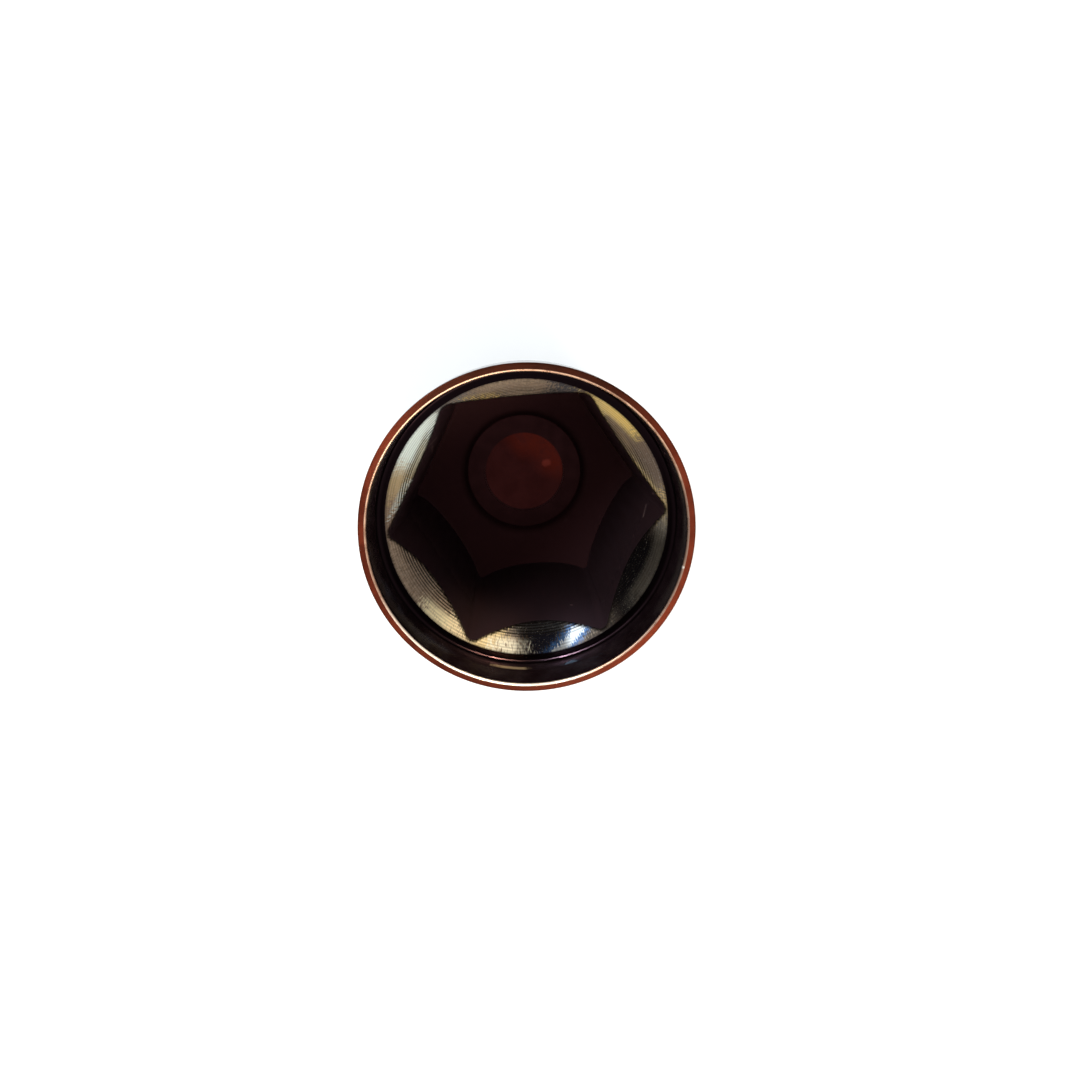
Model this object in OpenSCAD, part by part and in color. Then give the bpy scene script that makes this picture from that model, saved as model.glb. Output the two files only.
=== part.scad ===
// Push-on cap for a truck wheel nut, moulded as one piece and plated.
// It stands on its flat closed end with the open skirt up, as it would be put down on a bench.
// The origin is the centre of that closed end, and depths are measured down from the rim.

/* [Socket] */
// Size across the flats of the wheel nut that the socket grips
nut_af = 33; // [30:1:36]
// Play across the flats at the level of the shelf, where the socket is widest
mouth_play = 0.5; // [0.2:0.1:1.4]
// Draft of the flats, inside and outside, in degrees
draft = 0.8; // [0.5:0.05:1.5]
// Radius of the socket's corners at the level of the shelf
corner_r = 1.8; // [1.4:0.1:3]
// Depth of the centre of the dome
dome_depth = 34; // [28:0.2:42]
// Diameter of the flat at the bottom of the dome, inside
crown_flat_d = 21; // [18:0.2:24]

/* [Lead-in] */
// Angle between the conical lead-in and the axis
lead_angle = 22.6; // [15:0.2:32]
// Margin between the socket's corners and the top edge of the lead-in
lead_margin = 0.3; // [0.2:0.05:0.8]

/* [Skirt] */
// Depth of the round bore that goes over the nut's washer
skirt_depth = 7.3; // [5:0.1:10]
// Width of the shelf between the bore and the lead-in
shelf_w = 1.2; // [0.8:0.05:2.5]
// Wall of the skirt
skirt_wall = 1.1; // [0.9:0.1:1.8]
// Rounding of the rim's inner edge
rim_inner_r = 0.3; // [0.1:0.05:0.4]
// Rounding of the rim's outer edge
rim_outer_r = 0.2; // [0.1:0.05:0.4]
// Rounding of the skirt's lower outer edge
skirt_edge_r = 0.9; // [0.4:0.1:1.2]
// Rounding where the bore meets the shelf
shelf_r = 0.5; // [0.2:0.1:0.7]

/* [Walls] */
// Wall of the hexagonal body, the lead-in and the dome
body_wall = 1.6; // [1.2:0.1:2.2]
// Wall of the crown, between the two flats
crown_wall = 2; // [1.6:0.1:2.6]
// Rounding between the dome and the flat that the cap stands on
crown_edge_r = 3; // [1:0.5:5]

/* [Crown dish] */
// Diameter of the dish in the crown, inside
dish_d = 14.8; // [10:0.2:17]
// Height of the step around the dish
dish_step = 0.25; // [0.1:0.05:0.35]
// How far the middle of the dish lies below its edge
dish_sag = 0.35; // [0.1:0.05:0.5]

/* [Hidden] */
$fn = 96;
// How far a cut runs past the face that it opens
over = 1;
// How far a rounding stands proud of the face that it blends into, so that the two cross in one clean edge
blend = 0.002;

// The dome is centred on the axis and just clears the socket's sharp corners, so each flat ends in a scallop
dome_r = apothem(dome_depth) / cos(30);
crown_depth = dome_depth + sqrt(dome_r * dome_r - crown_flat_d * crown_flat_d / 4);
height = crown_depth + crown_wall;
dome_z = height - dome_depth;
shelf_z = height - skirt_depth;

// The skirt grows outwards from the socket's corners: lead-in, shelf, bore and wall
corner_pitch = (apothem(skirt_depth) - corner_r) / cos(30);
lead_top_r = corner_pitch + corner_r + lead_margin;
bore_r = lead_top_r + shelf_w;
skirt_r = bore_r + skirt_wall;

// Distance from the axis to the socket's flats at a depth
function apothem(depth) = (nut_af + mouth_play) / 2 - tan(draft) * (depth - skirt_depth);

// Hexagonal prism with round corners, a corner on +X, narrowing downwards. Its corners are upright cones on
// fixed centres, so the flats run into them smoothly at every height. wall is added to the socket all round.
module drafted_hexagon(wall, z_low, z_high) {
    low = apothem(height - z_low) + wall;
    high = apothem(height - z_high) + wall;
    low_r = low - corner_pitch * cos(30) + blend;
    high_r = high - corner_pitch * cos(30) + blend;
    for (turn = [30, 90, 150])
        rotate([0, 0, turn])
            rotate([90, 0, 0])
                linear_extrude(height = corner_pitch + 2 * blend, center = true)
                    polygon([[-low, z_low], [low, z_low], [high, z_high], [-high, z_high]]);
    for (turn = [0 : 60 : 300])
        rotate([0, 0, turn])
            translate([corner_pitch, 0, z_low])
                cylinder(h = z_high - z_low, r1 = low_r, r2 = high_r);
}

// Half section of a dome of radius r that ends in a flat at z_flat and opens upwards to z_open
module dome_section(r, z_flat, z_open) {
    intersection() {
        translate([0, dome_z]) circle(r);
        translate([0, z_flat]) square([r, dome_z - z_flat]);
    }
    translate([0, dome_z]) square([skirt_r, z_open - dome_z]);
}

// The outside dome with its lower edge rounded: the corner beyond the two tangent points goes, and an arc fills in
module crown_section() {
    r = dome_r + body_wall;
    centre = [sqrt(pow(r - crown_edge_r, 2) - pow(dome_z - crown_edge_r, 2)), crown_edge_r];
    outwards = (centre - [0, dome_z]) / (r - crown_edge_r);
    on_flat = [centre.x + blend, 0];
    on_dome = centre + crown_edge_r * outwards;
    chord = on_dome - on_flat;
    away = [chord.y, -chord.x] * over / norm(chord);
    difference() {
        dome_section(r, 0, height);
        polygon([on_flat, on_flat + away, on_dome + away, on_dome]);
    }
    intersection() {
        translate([centre.x + blend, centre.y]) circle(crown_edge_r);
        square(r);
    }
}

// Half section of a disc from z_low to z_high whose outer edges are rounded
module rounded_disc_section(r, z_low, z_high, low_r, high_r) {
    translate([0, z_low]) square([r - low_r, z_high - z_low - high_r]);
    translate([0, z_low + low_r]) square([r, z_high - z_low - low_r - high_r]);
    translate([0, z_high - high_r - over / 2]) square([r - high_r, high_r + over / 2]);
    translate([r - low_r, z_low + low_r]) circle(low_r);
    translate([r - high_r, z_high - high_r]) circle(high_r);
}

// Half section of a cone that narrows downwards at the lead-in's angle until it lies inside the socket's flats
module lead_section(top_r, z_top) {
    foot_r = apothem(dome_depth) - over;
    foot_z = z_top - (top_r - foot_r) / tan(lead_angle);
    polygon([[0, foot_z], [foot_r, foot_z], [top_r, z_top], [0, z_top]]);
}

// The skirt and the conical shoulder that carries it, one wall outside the lead-in
module skirt() {
    rotate_extrude() rounded_disc_section(skirt_r, shelf_z - body_wall, height, skirt_edge_r, rim_outer_r);
    rotate_extrude() lead_section(lead_top_r + body_wall / cos(lead_angle), shelf_z);
}

// The body's outside: hexagonal, with a domed end
module body() {
    intersection() {
        drafted_hexagon(body_wall, 0, shelf_z);
        rotate_extrude() crown_section();
    }
}

// The round bore, its shelf and the rounding of the rim's inner edge
module bore_section() {
    translate([0, shelf_z]) square([bore_r - shelf_r, skirt_depth]);
    translate([0, shelf_z + shelf_r]) square([bore_r, skirt_depth - shelf_r + over]);
    translate([bore_r - shelf_r, shelf_z + shelf_r]) circle(shelf_r);
    difference() {
        translate([0, height - rim_inner_r]) square([bore_r + rim_inner_r, rim_inner_r + over]);
        translate([bore_r + rim_inner_r, height - rim_inner_r]) circle(rim_inner_r);
    }
}

// The hexagonal socket, which runs down into the dome
module socket() {
    intersection() {
        drafted_hexagon(0, crown_wall, shelf_z + over);
        rotate_extrude() dome_section(dome_r, crown_wall, height);
    }
}

// The shallow dish in the crown: a step all round and a hollow floor
module dish() {
    edge_z = crown_wall - dish_step;
    ball_r = (dish_d * dish_d / 4 + dish_sag * dish_sag) / (2 * dish_sag);
    translate([0, 0, edge_z]) cylinder(h = dish_step + over, d = dish_d);
    rotate_extrude()
        intersection() {
            translate([0, edge_z - dish_sag + ball_r]) circle(ball_r, $fn = 360);
            translate([0, edge_z - dish_sag]) square([dish_d / 2, dish_sag]);
        }
}

module cap() {
    color([0.16, 0.1, 0.09])
        difference() {
            union() {
                body();
                skirt();
            }
            rotate_extrude() bore_section();
            rotate_extrude() lead_section(lead_top_r, shelf_z);
            socket();
            dish();
        }
}

cap();
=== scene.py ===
from math import acos, asin, atan2, cos, pi, radians, sin, sqrt, tan, tau

import bmesh
import bpy
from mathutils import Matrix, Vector


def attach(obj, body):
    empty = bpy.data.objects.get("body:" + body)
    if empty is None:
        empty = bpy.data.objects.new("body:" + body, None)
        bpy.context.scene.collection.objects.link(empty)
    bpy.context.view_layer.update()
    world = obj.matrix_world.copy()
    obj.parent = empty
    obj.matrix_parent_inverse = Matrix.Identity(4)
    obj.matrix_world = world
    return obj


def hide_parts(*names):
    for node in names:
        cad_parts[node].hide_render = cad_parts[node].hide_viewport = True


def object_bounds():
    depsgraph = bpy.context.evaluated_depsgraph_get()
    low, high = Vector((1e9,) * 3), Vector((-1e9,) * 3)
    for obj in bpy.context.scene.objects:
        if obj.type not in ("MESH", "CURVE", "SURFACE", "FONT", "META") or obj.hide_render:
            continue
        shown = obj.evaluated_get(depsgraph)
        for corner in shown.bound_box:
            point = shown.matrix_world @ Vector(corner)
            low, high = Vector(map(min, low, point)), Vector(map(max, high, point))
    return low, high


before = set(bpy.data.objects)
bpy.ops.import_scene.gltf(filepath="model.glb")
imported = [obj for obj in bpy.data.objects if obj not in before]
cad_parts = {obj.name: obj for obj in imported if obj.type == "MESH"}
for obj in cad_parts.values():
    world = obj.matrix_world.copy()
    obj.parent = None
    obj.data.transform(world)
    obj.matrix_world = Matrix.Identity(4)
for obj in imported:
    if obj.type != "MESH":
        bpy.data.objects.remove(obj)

solid_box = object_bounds()
height = solid_box[1][2]


# The cap is one thin shell of ABS, moulded in a single shot and plated. It stands on its closed end. Its
# half section runs from the middle of the inside, up the socket, over the rim and down the outside, and six
# flats cut across its round stretches, inside and outside. Depths are metres down from the rim.
socket_flats = 0.0335
draft = tan(radians(0.8))
corner_round = 0.0018
dome_depth = 0.034
crown_flat = 0.0105
lead_slope = tan(radians(22.6))
lead_margin = 0.0003
skirt_depth = 0.0073
shelf_width = 0.0012
skirt_wall = 0.0011
body_wall = 0.0016
shelf_round = 0.0005
rim_round_inside = 0.0003
rim_round_outside = 0.0002
skirt_round = 0.0009
shoulder_least = 0.0001
crown_round = 0.003
dish_radius = 0.0074
dish_step = 0.00025
dish_sag = 0.00035

dome_radius = (socket_flats / 2 - draft * (dome_depth - skirt_depth)) / cos(pi / 6)
crown_depth = dome_depth + sqrt(dome_radius ** 2 - crown_flat ** 2)
corner_centre = (socket_flats / 2 - corner_round) / cos(pi / 6)
lead_top = corner_centre + corner_round + lead_margin
bore = lead_top + shelf_width
skirt = bore + skirt_wall
ledge_depth = skirt_depth + body_wall
shoulder_top = lead_top + body_wall * sqrt(1 + lead_slope ** 2)
outer_dome = dome_radius + body_wall
crown_round_out = sqrt((outer_dome - crown_round) ** 2 - (height - crown_round - dome_depth) ** 2)

columns_per_corner = 20
columns_per_flat = 44
columns = 6 * (columns_per_corner + columns_per_flat)
corner_span = radians(4.6)
cone_tries = 8
dome_tries = 16
merge_distance = 1e-7
crisp_angle = radians(14)


def column_angle(column):
    """Angle of a column of the mesh. Columns lie closer together round the corners than on the flats."""
    side, step = divmod(column + columns_per_corner / 2, columns_per_corner + columns_per_flat)
    if step <= columns_per_corner:
        turn = corner_span * (2 * step / columns_per_corner - 1)
    else:
        across = (step - columns_per_corner) / columns_per_flat
        turn = corner_span + across * (pi / 3 - 2 * corner_span)
    return side * pi / 3 + turn


def hexagon(angle, depth, wall):
    """Distance from the axis to the hexagon along an angle: a flat, or the round corner between two."""
    flat = socket_flats / 2 - draft * (depth - skirt_depth) + wall
    round_here = flat - corner_centre * cos(pi / 6)
    turn = abs((angle + pi / 6) % (pi / 3) - pi / 6)
    if turn > atan2(round_here / 2, corner_centre + round_here * cos(pi / 6)):
        return flat / cos(pi / 6 - turn)
    return corner_centre * cos(turn) + sqrt(round_here ** 2 - (corner_centre * sin(turn)) ** 2)


def cone(top, depth):
    """Radius of the lead-in, or of the shoulder outside it, at a depth."""
    return top - (depth - skirt_depth) * lead_slope


def cone_meets_hexagon(angle, top, wall, least):
    """Depth of the scallop where a cone runs into the hexagon, found by stepping towards it."""
    depth = skirt_depth
    for _ in range(cone_tries):
        depth = skirt_depth + (top - hexagon(angle, depth, wall)) / lead_slope
    return max(depth, least)


def dome_meets_hexagon(angle, radius, wall):
    """Depth of the scallop where the hexagon runs into a dome, found by stepping towards it."""
    depth = dome_depth
    for _ in range(dome_tries):
        depth = dome_depth + sqrt(radius ** 2 - hexagon(angle, depth, wall) ** 2)
    return depth


def dish_floor(angle, t):
    return t * dish_radius, crown_depth + dish_step + dish_sag * (1 - t ** 2)


def dish_edge(angle, t):
    return dish_radius, crown_depth + dish_step * (1 - t)


def crown(angle, t):
    return dish_radius + t * (crown_flat - dish_radius), crown_depth


def dome(angle, t):
    edge = dome_meets_hexagon(angle, dome_radius, 0)
    low = asin(crown_flat / dome_radius)
    high = acos((edge - dome_depth) / dome_radius)
    turn = low + t * (high - low)
    return dome_radius * sin(turn), dome_depth + dome_radius * cos(turn)


def socket(angle, t):
    low = dome_meets_hexagon(angle, dome_radius, 0)
    high = cone_meets_hexagon(angle, lead_top, 0, skirt_depth)
    depth = low + t * (high - low)
    return hexagon(angle, depth, 0), depth


def lead_in(angle, t):
    low = cone_meets_hexagon(angle, lead_top, 0, skirt_depth)
    depth = low + t * (skirt_depth - low)
    return cone(lead_top, depth), depth


def shelf(angle, t):
    return lead_top + t * (bore - shelf_round - lead_top), skirt_depth


def shelf_corner(angle, t):
    return bore - shelf_round * (1 - sin(t * pi / 2)), skirt_depth - shelf_round * (1 - cos(t * pi / 2))


def skirt_inside(angle, t):
    return bore, skirt_depth - shelf_round + t * (rim_round_inside + shelf_round - skirt_depth)


def rim_edge_inside(angle, t):
    return bore + rim_round_inside * (1 - cos(t * pi / 2)), rim_round_inside * (1 - sin(t * pi / 2))


def rim(angle, t):
    low = bore + rim_round_inside
    return low + t * (skirt - rim_round_outside - low), 0


def rim_edge_outside(angle, t):
    return skirt - rim_round_outside * (1 - sin(t * pi / 2)), rim_round_outside * (1 - cos(t * pi / 2))


def skirt_outside(angle, t):
    return skirt, rim_round_outside + t * (ledge_depth - skirt_round - rim_round_outside)


def skirt_edge(angle, t):
    return skirt - skirt_round * (1 - cos(t * pi / 2)), ledge_depth - skirt_round * (1 - sin(t * pi / 2))


def ledge(angle, t):
    foot = max(cone(shoulder_top, ledge_depth), hexagon(angle, ledge_depth, body_wall))
    return skirt - skirt_round + t * (foot - skirt + skirt_round), ledge_depth


def shoulder(angle, t):
    low = cone_meets_hexagon(angle, shoulder_top, body_wall, ledge_depth + shoulder_least)
    depth = ledge_depth + t * (low - ledge_depth)
    return max(cone(shoulder_top, depth), hexagon(angle, depth, body_wall)), depth


def flats_outside(angle, t):
    high = cone_meets_hexagon(angle, shoulder_top, body_wall, ledge_depth + shoulder_least)
    low = dome_meets_hexagon(angle, outer_dome, body_wall)
    depth = high + t * (low - high)
    return hexagon(angle, depth, body_wall), depth


def dome_outside(angle, t):
    edge = dome_meets_hexagon(angle, outer_dome, body_wall)
    high = acos((edge - dome_depth) / outer_dome)
    low = atan2(crown_round_out, height - crown_round - dome_depth)
    turn = high + t * (low - high)
    return outer_dome * sin(turn), dome_depth + outer_dome * cos(turn)


def crown_edge(angle, t):
    start = atan2(crown_round_out, height - crown_round - dome_depth)
    turn = start * (1 - t)
    return crown_round_out + crown_round * sin(turn), height - crown_round * (1 - cos(turn))


def closed_end(angle, t):
    return crown_round_out * (1 - t), height


# Each stretch of the section gives a radius and a depth, for an angle and for a share t of its own length.
# It has its steps in the mesh and its finish.
stretches = [
    (dish_floor, 8, "closed end inside"),
    (dish_edge, 2, "closed end inside"),
    (crown, 3, "closed end inside"),
    (dome, 22, "closed end inside"),
    (socket, 24, "socket"),
    (lead_in, 14, "lead-in"),
    (shelf, 3, "skirt inside"),
    (shelf_corner, 5, "skirt inside"),
    (skirt_inside, 8, "skirt inside"),
    (rim_edge_inside, 6, "rim edge"),
    (rim, 4, "rim"),
    (rim_edge_outside, 4, "rim"),
    (skirt_outside, 8, "outside"),
    (skirt_edge, 6, "outside"),
    (ledge, 2, "outside"),
    (shoulder, 8, "outside"),
    (flats_outside, 16, "outside"),
    (dome_outside, 16, "outside"),
    (crown_edge, 4, "outside"),
    (closed_end, 4, "outside"),
]
finishes = ["closed end inside", "socket", "lead-in", "skirt inside", "rim edge", "rim", "outside"]

rows = [(dish_floor, 0.0)]
row_finish = []
for stretch, steps, finish in stretches:
    for step in range(steps):
        rows.append((stretch, (step + 1) / steps))
        row_finish.append(finishes.index(finish))

shell = bmesh.new()
row_number = shell.verts.layers.int.new("row")
from_edge = shell.verts.layers.float.new("from_edge")
section = []
for number, (stretch, t) in enumerate(rows):
    radius, depth = stretch(0, t)
    point = shell.verts.new((radius, 0, height - depth))
    point[row_number] = number
    section.append(point)
lines = [shell.edges.new(pair) for pair in zip(section, section[1:])]
bmesh.ops.spin(shell, geom=section + lines, cent=(0, 0, 0), axis=(0, 0, 1), angle=tau, steps=columns,
               use_merge=True, use_duplicate=False)
for point in shell.verts:
    stretch, t = rows[point[row_number]]
    angle = column_angle(round(atan2(point.co.y, point.co.x) / tau * columns) % columns)
    radius, depth = stretch(angle, t)
    point.co = (radius * cos(angle), radius * sin(angle), height - depth)
    point[from_edge] = cone_meets_hexagon(angle, lead_top, 0, skirt_depth) - depth
for face in shell.faces:
    face.smooth = True
    face.material_index = row_finish[min(point[row_number] for point in face.verts)]
bmesh.ops.remove_doubles(shell, verts=shell.verts, dist=merge_distance)
bmesh.ops.recalc_face_normals(shell, faces=shell.faces)
cap_mesh = bpy.data.meshes.new("cap_shell")
shell.to_mesh(cap_mesh)
shell.free()
cap_mesh.set_sharp_from_angle(angle=crisp_angle)
cap = bpy.data.objects.new("cap_shell", cap_mesh)
bpy.context.collection.objects.link(cap)


class Signal:
    """One output of a material's nodes. Sums written on it add the Math nodes that work them out."""

    def __init__(self, socket):
        self.socket = socket

    def node(self, kind, settings, inputs, output=0):
        """Adds any other node: its settings first, then a value or a link for each socket that is named."""
        made = self.socket.id_data.nodes.new(kind)
        for name, value in settings.items():
            setattr(made, name, value)
        for name, value in inputs.items():
            if isinstance(value, Signal):
                self.socket.id_data.links.new(value.socket, made.inputs[name])
            else:
                made.inputs[name].default_value = value
        return Signal(made.outputs[output])

    def math(self, operation, first, second=0.0):
        return self.node("ShaderNodeMath", {"operation": operation}, {0: first, 1: second})

    def vector(self, operation, inputs, output=0):
        return self.node("ShaderNodeVectorMath", {"operation": operation}, inputs, output)

    def __add__(self, other):
        return self.math("ADD", self, other)

    def __sub__(self, other):
        return self.math("SUBTRACT", self, other)

    def __rsub__(self, other):
        return self.math("SUBTRACT", other, self)

    def __mul__(self, other):
        return self.math("MULTIPLY", self, other)

    def __truediv__(self, other):
        return self.math("DIVIDE", self, other)

    def __pow__(self, other):
        return self.math("POWER", self, other)

    __radd__ = __add__
    __rmul__ = __mul__

    def ramp(self, low, high, start=0.0, end=1.0):
        """A soft step, from start where the value is low to end where it is high."""
        sockets = {"Value": self, "From Min": low, "From Max": high, "To Min": start, "To Max": end}
        return self.node("ShaderNodeMapRange", {"interpolation_type": "SMOOTHSTEP"}, sockets)

    def wave(self):
        """A smooth wave from 0 to 1, with this value as its phase in radians."""
        return self.math("SINE", self) * 0.5 + 0.5

    def blend(self, first, second):
        """A colour between two others, by this value, on the sockets that a Mix node has for colours."""
        return self.node("ShaderNodeMix", {"data_type": "RGBA"}, {0: self, 6: first, 7: second}, 2)


class Surface:
    """Where a point of the shell lies: its depth below the rim, its radius and its way round the axis."""

    def __init__(self, material):
        self.place = Signal(material.node_tree.nodes.new("ShaderNodeTexCoord").outputs["Object"])
        sockets = {"Vector": self.place}
        x, y, z = (self.place.node("ShaderNodeSeparateXYZ", {}, sockets, way) for way in "XYZ")
        self.x, self.y = x, y
        self.depth = height - z
        self.radius = (x * x + y * y) ** 0.5

    def noise(self, across, along, detail=3.0):
        """Cloudy variation from 0 to 1, with its grain in 1/m across the axis and along it."""
        scaled = self.place.vector("MULTIPLY", {0: self.place, 1: (across, across, along)})
        sockets = {"Vector": scaled, "Scale": 1.0, "Detail": detail, "Roughness": 0.6}
        return self.place.node("ShaderNodeTexNoise", {"noise_dimensions": "3D"}, sockets, "Fac")

    def towards(self, bearing):
        """Cosine of the way round from a bearing, in degrees from +X."""
        return (self.x * cos(radians(bearing)) + self.y * sin(radians(bearing))) / self.radius

    def facing(self, bearing, half_width, wobble=0.0):
        """1 along a bearing and for two fifths of half_width degrees beside it, and 0 at half_width."""
        level = half_width * 0.4
        return (self.towards(bearing) + wobble).ramp(cos(radians(half_width)), cos(radians(level)))

    def scratch(self, start, end, width=0.00016):
        """1 on a straight scratch between two points in millimetres, and 0 at width metres from it."""
        first = Vector(start) / 1000
        along = Vector(end) / 1000 - first
        offset = self.place.vector("SUBTRACT", {0: self.place, 1: first})
        share = offset.vector("DOT_PRODUCT", {0: offset, 1: along / along.length_squared}, "Value")
        share = share.math("MAXIMUM", share.math("MINIMUM", share, 1.0), 0.0)
        nearest = share.vector("SCALE", {0: along, "Scale": share})
        gap = offset.vector("DISTANCE", {0: offset, 1: nearest}, "Value")
        core = width * 0.3
        return gap.ramp(width, core)


def plated(name, metal, edge_tint):
    """A plated finish. They are put on the shell in the order that finishes has them in."""
    material = bpy.data.materials.new(name)
    material.use_nodes = True
    shader = material.node_tree.nodes["Principled BSDF"]
    shader.inputs["Metallic"].default_value = metal
    shader.inputs["Specular Tint"].default_value = (*edge_tint, 1)
    cap_mesh.materials.append(material)
    return shader, Surface(material)


def connect(shader, varying, relief, relief_height):
    """Links what varies over the surface to the shader's own sockets, and the relief to its normal."""
    normal = relief.node("ShaderNodeBump", {}, {"Height": relief, "Distance": relief_height})
    for name, signal in {**varying, "Normal": normal}.items():
        shader.id_data.links.new(signal.socket, shader.inputs[name])


# The closed end is dark red, with only part of the metal look. The flat crown is the darkest. The dish is
# the reddest, with a painted reflection, an orange glow, on one side and one small painted highlight.
part_metal = 0.3
full_plating = 1.0
shader, at = plated("closed end inside", part_metal, (0.3, 0.1, 0.1))
dome_copper = (0.070, 0.027, 0.029, 1)
crown_copper = (0.018, 0.0060, 0.0066, 1)
dish_copper = (0.047, 0.0085, 0.0075, 1)
reflection_copper = (0.150, 0.017, 0.008, 1)
highlight_copper = (0.26, 0.040, 0.026, 1)
reflection_bearing = 50
reflection_half_width = 80
reflection_reach = (0.001, 0.0055)
crown_fade = (crown_flat + 0.0016, crown_flat + 0.0003)
dish_fade = (dish_radius, dish_radius - 0.0004)
dish_highlight = ((4.1, 1.1, 1.5), (4.5, 1.2, 1.5))
dish_highlight_width = 0.0009
end_relief = 0.000008
mottle = at.noise(420, 420)
in_dish = at.radius.ramp(*dish_fade)
# Painted reflection: an orange glow on one side of the dish.
dish_reflection = at.facing(reflection_bearing, reflection_half_width) * at.radius.ramp(*reflection_reach) * in_dish
on_crown = at.radius.ramp(*crown_fade)
colour = on_crown.blend(dome_copper, crown_copper)
colour = in_dish.blend(colour, dish_copper)
colour = (dish_reflection * mottle.ramp(0.1, 0.7)).blend(colour, reflection_copper)
# Painted highlight: one small bright spot in the dish.
colour = at.scratch(*dish_highlight, dish_highlight_width).blend(colour, highlight_copper)
satin = mottle.ramp(0.3, 0.7, 0.3, 0.42)
connect(shader, {"Base Color": colour, "Roughness": satin}, at.noise(2600, 2600), end_relief)

# The six flats and their corners are near black, with a faint grain up them. The nut has left scratches in
# them, each from one point to another in millimetres.
shader, at = plated("socket", part_metal, (0.3, 0.2, 0.24))
socket_black = (0.029, 0.0160, 0.0190, 1)
socket_brown = (0.033, 0.0175, 0.0205, 1)
scratched = (0.32, 0.22, 0.20, 1)
socket_relief = 0.0000001
nut_scratches = [
    ((-13.0, 10.5, 37.0), (-13.0, 10.4, 25.0)),
    ((-13.2, 10.0, 30.0), (-14.5, 7.7, 21.0)),
    ((-13.9, 9.0, 26.0), (-14.1, 8.8, 19.0)),
    ((18.2, -1.7, 32.4), (17.4, -3.1, 34.1)),
    ((18.9, 0.4, 34.4), (18.6, 0.9, 37.5)),
    ((5.4, -16.7, 32.4), (5.8, -16.5, 32.6)),
    ((-4.5, -16.8, 39.4), (-4.3, -16.8, 40.0)),
]
grain = at.noise(900, 90, 2.0)
colour = grain.ramp(0.35, 0.75).blend(socket_black, socket_brown)
for start, end in nut_scratches:
    colour = (at.scratch(start, end) * grain.ramp(0.3, 0.5)).blend(colour, scratched)
satin = grain.ramp(0.3, 0.8, 0.28, 0.32)
connect(shader, {"Base Color": colour, "Roughness": satin}, grain, socket_relief)

# The lead-in is the cone that guides the nut in. Turning marks in its mould left fine rings round it. It has
# the most metal. Its silver and gold and the dark stretches between are painted reflections, and its inner
# edge fades into the dark socket as painted shade.
lead_in_plating = 0.5
shader, at = plated("lead-in", lead_in_plating, (0.9, 0.88, 0.8))
brush_round = 110
brush_down = 1000
edge_fray = 0.0010
edge_band = (0.0030, 0.0016)
edge_line = (0.0016, 0.0008)
shelf_fray = 0.0012
shelf_band = (0.0036, 0.0018)
edge_gap = at.place.node("ShaderNodeAttribute", {"attribute_name": "from_edge"}, {}, "Fac")
below_shelf = at.depth - skirt_depth
way = at.place.node("ShaderNodeCombineXYZ", {}, {"X": at.x / at.radius * brush_round,
                                                 "Y": at.y / at.radius * brush_round,
                                                 "Z": at.depth * brush_down})
brushed = at.place.node("ShaderNodeTexNoise", {}, {"Vector": way, "Scale": 1.0, "Detail": 2.0}, "Fac")
fray = brushed - 0.5
rough_edge = edge_gap + fray * edge_fray
by_edge = rough_edge.ramp(*edge_band)
at_edge = rough_edge.ramp(*edge_line)
by_shelf = (below_shelf + fray * shelf_fray).ramp(*shelf_band)

# Each painted reflection on the cone, light or dark, has its bearing and half its width in degrees, its part
# of the cone or None for all of it, its colour, and how much it covers.
tan_metal = (0.36, 0.265, 0.195, 1)
pale_tan_metal = (0.56, 0.42, 0.31, 1)
reflection_fray = 0.07
painted_reflections = [
    (160, 24, None, (0.62, 0.46, 0.27, 1), 1.0),
    (174, 9, None, (0.40, 0.28, 0.22, 1), 0.9),
    (136, 21, None, (0.94, 1.0, 0.95, 1), 1.0),
    (147, 14, by_edge, (0.50, 0.42, 0.28, 1), 0.8),
    (165, 8, by_edge, (0.95, 1.0, 0.93, 1), 0.9),
    (115, 9, None, (0.22, 0.20, 0.19, 1), 0.9),
    (104, 6, by_edge, (1.0, 0.72, 0.28, 1), 0.8),
    (68, 10, None, (0.09, 0.09, 0.11, 1), 0.95),
    (24, 22, None, (0.26, 0.185, 0.14, 1), 0.95),
    (24, 20, by_edge, (0.42, 0.30, 0.19, 1), 0.9),
    (14, 13, at_edge, (1.0, 0.72, 0.34, 1), 0.8),
    (46, 17, by_shelf, (1.0, 0.74, 0.27, 1), 0.97),
    (55, 8, None, (1.0, 0.78, 0.36, 1), 0.8),
    (0, 8, None, (0.95, 0.66, 0.28, 1), 0.85),
    (-33, 30, None, (0.012, 0.011, 0.018, 1), 0.99),
    (-22, 28, by_shelf, (0.30, 0.26, 0.21, 1), 0.85),
    (-62, 9, None, (0.10, 0.08, 0.065, 1), 0.95),
    (-88, 14, None, (0.016, 0.018, 0.034, 1), 0.98),
    (-88, 22, by_edge, (0.13, 0.125, 0.12, 1), 0.8),
    (-116, 13, None, (1.0, 0.80, 0.46, 1), 0.97),
    (-103, 10, by_shelf, (1.0, 0.94, 0.78, 1), 1.0),
    (-136, 13, by_shelf, (1.0, 0.90, 0.62, 1), 0.97),
    (-126, 8, None, (1.0, 0.84, 0.58, 1), 0.9),
]
colour = brushed.ramp(0.3, 0.7).blend(tan_metal, pale_tan_metal)
# Each painted reflection, light or dark, is laid over the metal's own colour.
for bearing, half_width, part, metal, cover in painted_reflections:
    mask = at.facing(bearing, half_width, fray * reflection_fray) * cover
    colour = (mask if part is None else mask * part).blend(colour, metal)
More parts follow.
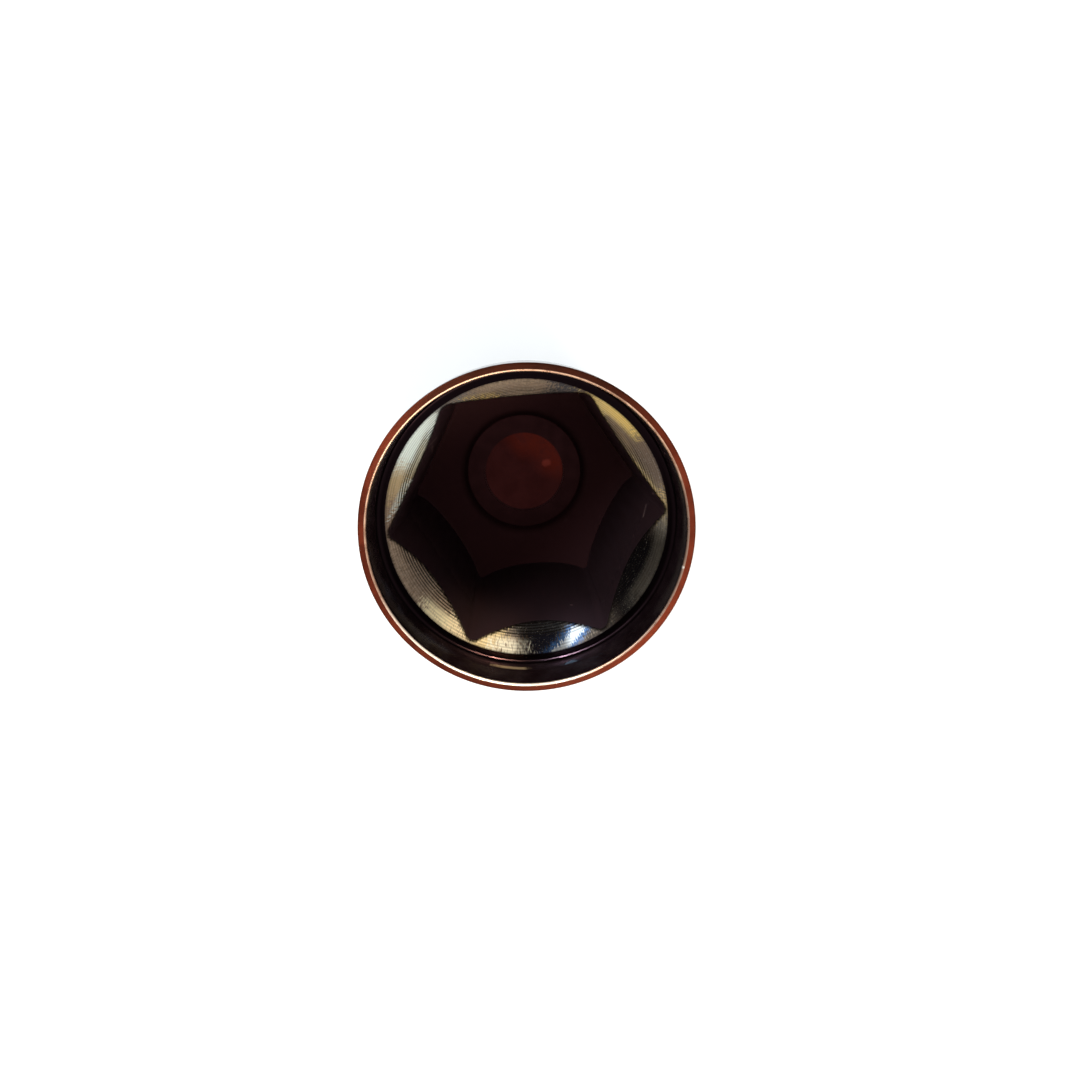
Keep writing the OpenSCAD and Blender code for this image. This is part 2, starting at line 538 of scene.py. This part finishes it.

# A painted reflection slants down the cone as a bright streak, white along its middle and blue beside it.
reflected_blue = (0.10, 0.24, 0.52, 1)
reflected_white = (1.0, 1.0, 1.0, 1)
streak_bearing = -74
streak_half_width = 19
streak_middle = 0.0020
streak_slant = 62
streak_fray = 0.22
blue_spread = (0.034, 0.006)
white_spread = (0.0075, 0.0025)
beside = at.towards(streak_bearing + 90) - (below_shelf - streak_middle) * streak_slant + fray * streak_fray
spread = beside * beside
near_streak = at.facing(streak_bearing, streak_half_width)
colour = (spread.ramp(*blue_spread) * near_streak * 0.9).blend(colour, reflected_blue)
colour = (spread.ramp(*white_spread) * near_streak).blend(colour, reflected_white)

# The rings are dark between bright grains of metal. Painted shade darkens the cone where it runs into the
# socket and at the shelf.
ring_pitch = 0.00056
ring_waver = 4.0
socket_fade = (-0.0003, 0.0009)
shelf_fade_fray = 0.0004
shelf_fade = (-0.0002, 0.0006)
lead_in_relief = 0.00004
ring_dark = (0.03, 0.024, 0.02, 1)
bright_grain = (0.9, 0.82, 0.68, 1)
socket_edge_shade = (0.022, 0.014, 0.015, 1)
fibre_on_metal = (0.40, 0.30, 0.24, 1)
stray_fibre = [((-20.4, -2.0, 44.4), (-19.1, -0.3, 43.7)), ((-19.1, -0.3, 43.7), (-18.9, -0.4, 36.5))]
rings = (at.depth * (tau / ring_pitch) + at.noise(130, 200) * ring_waver).wave()
ring_place = at.noise(80, 500).ramp(0.34, 0.56) + by_edge * 0.5
colour = (rings * ring_place * (1 - by_shelf * 0.6) * 0.8).blend(colour, ring_dark)
colour = (at.noise(5200, 5200, 1.0).ramp(0.66, 0.72) * 0.5).blend(colour, bright_grain)
off_shelf = (below_shelf + fray * shelf_fade_fray).ramp(*shelf_fade)
# Painted shade along the socket's edge and the shelf.
colour = (rough_edge.ramp(*socket_fade) * off_shelf).blend(socket_edge_shade, colour)
for start, end in stray_fibre:
    colour = at.scratch(start, end).blend(colour, fibre_on_metal)
dark_side = at.facing(-33, 32) + at.facing(-88, 15) + rough_edge.ramp(0.0009, 0.0)
metal = dark_side.ramp(0.0, 1.0, lead_in_plating, full_plating)
satin = brushed.ramp(0.3, 0.7, 0.36, 0.5)
varying = {"Base Color": colour, "Roughness": satin, "Metallic": metal}
connect(shader, varying, rings * 0.5 + brushed, lead_in_relief)

# The skirt is the round wall that hides the nut's flange, and the narrow shelf at its foot rests on it. Its
# plating is glossy and near black, with two small painted highlights, two dim painted sheens, a few specks
# and a fibre's end.
shader, at = plated("skirt inside", part_metal, (0.4, 0.3, 0.33))
skirt_black = (0.009, 0.0045, 0.0055, 1)
skirt_brown = (0.020, 0.012, 0.013, 1)
shelf_black = (0.006, 0.0032, 0.0040, 1)
# Painted highlights, each with its bearing, half width, sway, upper and lower depths and colour.
lights = [
    (-101, 9, 0.03, (0.0046, 0.0050), (0.0058, 0.0054), (0.30, 0.22, 0.13, 1)),
    (-77, 5, 0.02, (0.0046, 0.0050), (0.0060, 0.0055), (0.06, 0.09, 0.12, 1)),
]
sheen_sway = 0.2
sheen_cover = 0.8
painted_left_sheen = (0.028, 0.026, 0.034, 1)
painted_right_sheen = (0.040, 0.030, 0.028, 1)
speck_grey = (0.09, 0.06, 0.05, 1)
fibre_on_black = (0.22, 0.16, 0.14, 1)
nick = ((19.0, -5.9, 51.4), (20.6, -6.4, 51.7))
skirt_relief = 0.000003
haze = at.noise(500, 300)
drift = haze - 0.5
colour = haze.ramp(0.35, 0.75).blend(skirt_black, skirt_brown)
for bearing, half_width, sway, top, foot, light in lights:
    lit = at.facing(bearing, half_width, drift * sway) * at.depth.ramp(*top) * at.depth.ramp(*foot)
    colour = lit.blend(colour, light)
# Two painted sheens, dim reflections on the left and on the right of the wall.
left_sheen = at.facing(-145, 26, drift * sheen_sway)
left_sheen = left_sheen * at.depth.ramp(0.0012, 0.0030) * at.depth.ramp(0.0056, 0.0036)
colour = (left_sheen * haze.ramp(0.4, 0.6) * sheen_cover).blend(colour, painted_left_sheen)
right_sheen = at.facing(-10, 34, drift * sheen_sway) * at.depth.ramp(0.0034, 0.0014)
colour = (right_sheen * sheen_cover).blend(colour, painted_right_sheen)
specks = at.noise(5200, 5200, 1.0).ramp(0.70, 0.76) * at.noise(300, 300).ramp(0.5, 0.65)
colour = (specks * 0.5).blend(colour, speck_grey)
for start, end in stray_fibre + [nick]:
    colour = at.scratch(start, end).blend(colour, fibre_on_black)
on_shelf = at.depth.ramp(skirt_depth - 0.0008, skirt_depth - 0.0001)
colour = on_shelf.blend(colour, shelf_black)
metal = on_shelf.ramp(0.0, 1.0, part_metal, full_plating)
satin = haze.ramp(0.3, 0.8, 0.18, 0.28)
connect(shader, {"Base Color": colour, "Roughness": satin, "Metallic": metal}, haze, skirt_relief)

# The rim's small inner round is bright metal. A painted highlight makes it whitest towards -Y, and painted
# shade makes it dullest towards +X, where a nick crosses it.
shader, at = plated("rim edge", full_plating, (1.0, 0.95, 0.9))
edge_copper = (0.36, 0.20, 0.13, 1)
edge_pale_copper = (0.52, 0.33, 0.23, 1)
painted_edge_highlight = (1.0, 0.86, 0.70, 1)
painted_edge_shade = (0.20, 0.13, 0.10, 1)
nick_pale = (0.75, 0.70, 0.62, 1)
nick_width = 0.0003
edge_relief = 0.00001
rub = at.noise(900, 900)
colour = rub.ramp(0.3, 0.7).blend(edge_copper, edge_pale_copper)
colour = at.facing(-115, 50).blend(colour, painted_edge_highlight)
colour = (at.facing(-22, 48) * 0.85).blend(colour, painted_edge_shade)
colour = at.scratch(*nick, nick_width).blend(colour, nick_pale)
satin = rub.ramp(0.3, 0.7, 0.25, 0.4)
connect(shader, {"Base Color": colour, "Roughness": satin}, rub, edge_relief)

# The rim's flat is copper-brown, with fine rubbing marks round it. Painted shade makes it darker towards +Y
# and -Y.
shader, at = plated("rim", full_plating, (0.5, 0.25, 0.15))
rim_copper = (0.075, 0.015, 0.008, 1)
rim_bright_copper = (0.145, 0.026, 0.012, 1)
far_shade_copper = (0.020, 0.008, 0.005, 1)
near_shade_copper = (0.040, 0.010, 0.006, 1)
mark_phase = 42000
mark_waver = 9.0
rim_relief = 0.000012
streaks = at.noise(320, 320, 5.0)
marks = (at.radius * mark_phase + at.noise(60, 60) * mark_waver).wave()
colour = (streaks.ramp(0.3, 0.7) * 0.7 + marks * 0.3).blend(rim_copper, rim_bright_copper)
colour = (at.facing(85, 60) * 0.75).blend(colour, far_shade_copper)
colour = (at.facing(-95, 55) * 0.6).blend(colour, near_shade_copper)
satin = streaks.ramp(0.3, 0.7, 0.34, 0.5)
connect(shader, {"Base Color": colour, "Roughness": satin}, marks + streaks, rim_relief)

# The outside is chrome over the moulding's faint waviness. Along the very edge of the rim it turns copper.
shader, at = plated("outside", full_plating, (1.0, 1.0, 1.0))
chrome = (0.345, 0.355, 0.375, 1)
pale_chrome = (0.36, 0.37, 0.39, 1)
lip_copper = (0.20, 0.045, 0.022, 1)
lip_fray = 0.0004
lip_fade = (0.0002, 0.0005)
chrome_relief = 0.00004
fine = at.noise(1400, 1400, 2.0)
below_lip = (at.depth + (at.noise(900, 900) - 0.5) * lip_fray).ramp(*lip_fade)
colour = fine.ramp(0.3, 0.7).blend(chrome, pale_chrome)
colour = below_lip.blend(lip_copper, colour)
gloss = fine.ramp(0.3, 0.8, 0.05, 0.08)
connect(shader, {"Base Color": colour, "Roughness": gloss}, at.noise(70, 60, 1.0), chrome_relief)

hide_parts("cap")
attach(cap, "root")


# The photograph looks down into the open mouth, from a little behind the cap, so the closed end moves up the
# picture. The lens is short and close: the skirt's rim fills a third of the width.
photo_side = 1080
focal_pixels = 803.3
camera_data = bpy.data.cameras.new("camera")
camera_data.sensor_width = 36
camera_data.lens = focal_pixels * camera_data.sensor_width / photo_side
camera_data.clip_start = 0.005
camera = bpy.data.objects.new("camera", camera_data)
camera.location = (0.00096, 0.02496, height + 0.09978)
camera.rotation_euler = (radians(-14.36), radians(-1.59), radians(-4.92))
bpy.context.collection.objects.link(camera)
bpy.context.scene.camera = camera


def seen_by(tree, *kinds):
    """1 for the kinds of ray that are named, such as Camera, and 0 for all others."""
    path = tree.nodes.new("ShaderNodeLightPath")
    seen, *others = (Signal(path.outputs[f"Is {kind} Ray"]) for kind in kinds)
    for other in others:
        seen = seen.math("MAXIMUM", seen, other)
    return seen


# A wide matt white floor carries the cap and its soft shadow. It shows a little lighter to the camera than
# it is lit, so that it runs into the white of the background.
floor_white = (0.80, 0.80, 0.80, 1)
floor_lift = 0.16
floor_reach = 1.5
floor_mesh = bmesh.new()
bmesh.ops.create_grid(floor_mesh, x_segments=1, y_segments=1, size=floor_reach)
floor_data = bpy.data.meshes.new("floor")
floor_mesh.to_mesh(floor_data)
floor_mesh.free()
floor = bpy.data.objects.new("floor", floor_data)
bpy.context.collection.objects.link(floor)
floor_paint = bpy.data.materials.new("floor paint")
floor_paint.use_nodes = True
floor_shader = floor_paint.node_tree.nodes["Principled BSDF"]
floor_shader.inputs["Roughness"].default_value = 0.9
floor_shader.inputs["Specular IOR Level"].default_value = 0.0
floor_shader.inputs["Base Color"].default_value = floor_white
seen = seen_by(floor_paint.node_tree, "Camera")
lift = seen.node("ShaderNodeEmission", {}, {"Color": (1, 1, 1, 1), "Strength": seen * floor_lift})
lit = seen.node("ShaderNodeAddShader", {}, {0: Signal(floor_shader.outputs[0]), 1: lift})
floor_out = floor_paint.node_tree.nodes["Material Output"]
floor_paint.node_tree.links.new(lit.socket, floor_out.inputs["Surface"])
floor_data.materials.append(floor_paint)


def hang(name, kind, colour, power, place, aim):
    """Hangs a lamp of one kind at a place, turned to shine along aim."""
    lamp_data = bpy.data.lights.new(name, kind)
    lamp_data.color = colour
    lamp_data.energy = power
    lamp = bpy.data.objects.new(name, lamp_data)
    lamp.location = place
    lamp.rotation_euler = aim.to_track_quat("-Z", "Y").to_euler()
    bpy.context.collection.objects.link(lamp)
    return lamp_data


# The studio is an even pale room, a little brighter to the eye and in reflections than it lights. Two soft
# lamps hang overhead, one cool on the left and one warm on the near side.
room_light = 0.8
world = bpy.data.worlds.new("studio")
world.use_nodes = True
room = world.node_tree.nodes["Background"]
seen = seen_by(world.node_tree, "Camera", "Glossy", "Transmission")
strength = seen * (1 - room_light) + room_light
world.node_tree.links.new(strength.socket, room.inputs["Strength"])
room.inputs["Color"].default_value = (1, 1, 1, 1)
bpy.context.scene.world = world

soft_lamp_side = 0.22
soft_lamp_power = 2.0
mouth = Vector((0, 0, height))
soft_lamps = [
    ("cool lamp", (-0.28, 0.30, 0.45), (0.86, 0.95, 1.0)),
    ("warm lamp", (0.10, -0.35, 0.45), (1.0, 0.90, 0.74)),
]
for name, place, colour in soft_lamps:
    soft_lamp = hang(name, "AREA", colour, soft_lamp_power, place, mouth - Vector(place))
    soft_lamp.size = soft_lamp_side

# Four narrow spots pick out the bright tones of the lead-in. Each shines down across the mouth onto the
# cone, and has its bearing, colour, power and width in degrees.
spot_reach = 0.30
spot_climb = radians(60)
spot_softness = 0.8
spot_size = 0.004
lit_radius = 0.0187
lit_depth = 0.0088
spots = [
    ("cool spot near side", -73, (0.75, 0.90, 1.0), 9.0, 2.2),
    ("warm spot near side", -116, (1.0, 0.82, 0.52), 5.5, 3.6),
    ("cool spot far side", 138, (0.88, 1.0, 0.95), 3.2, 3.0),
    ("warm spot far side", 45, (1.0, 0.85, 0.50), 1.6, 2.2),
]
for name, bearing, colour, power, width in spots:
    way = Vector((cos(radians(bearing)), sin(radians(bearing)), 0))
    target = way * lit_radius + Vector((0, 0, height - lit_depth))
    beam = way * cos(spot_climb) - Vector((0, 0, sin(spot_climb)))
    spot = hang(name, "SPOT", colour, power, target - beam * spot_reach, beam)
    spot.spot_size = radians(width)
    spot.spot_blend = spot_softness
    spot.shadow_soft_size = spot_size

bpy.context.scene.view_settings.view_transform = "Standard"
